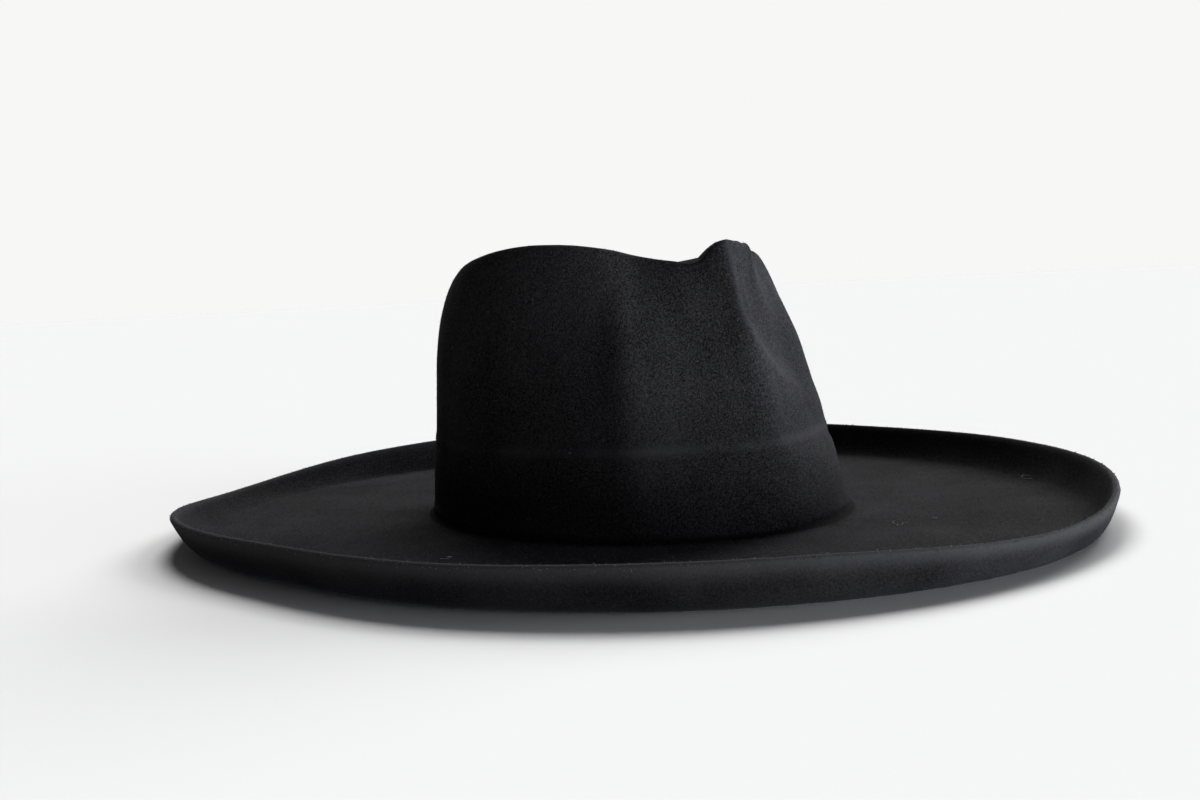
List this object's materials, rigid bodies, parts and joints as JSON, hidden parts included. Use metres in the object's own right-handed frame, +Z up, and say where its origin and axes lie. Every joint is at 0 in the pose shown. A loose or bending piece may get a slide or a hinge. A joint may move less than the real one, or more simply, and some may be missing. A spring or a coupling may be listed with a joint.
{
  "type": "wide-brim fedora hat",
  "caption": "Wide-brimmed black felt hat: pinched teardrop crown, hollow for the head, and a flat brim with a rolled-up edge.",
  "frame": {"origin": "under the middle of the whole hat, on the plane that the flat underside of the brim rests on", "axes": "+Z up through the crown, -Y to the front of the hat (the pinched end), +X to the wearer's left"},
  "size_m": [0.3792, 0.4138, 0.12],
  "materials": {
    "black_felt": "matt pressed wool felt with a fine nap"
  },
  "bodies": {
    "root": {"felt_body": "black_felt"}
  },
  "joints": []
}
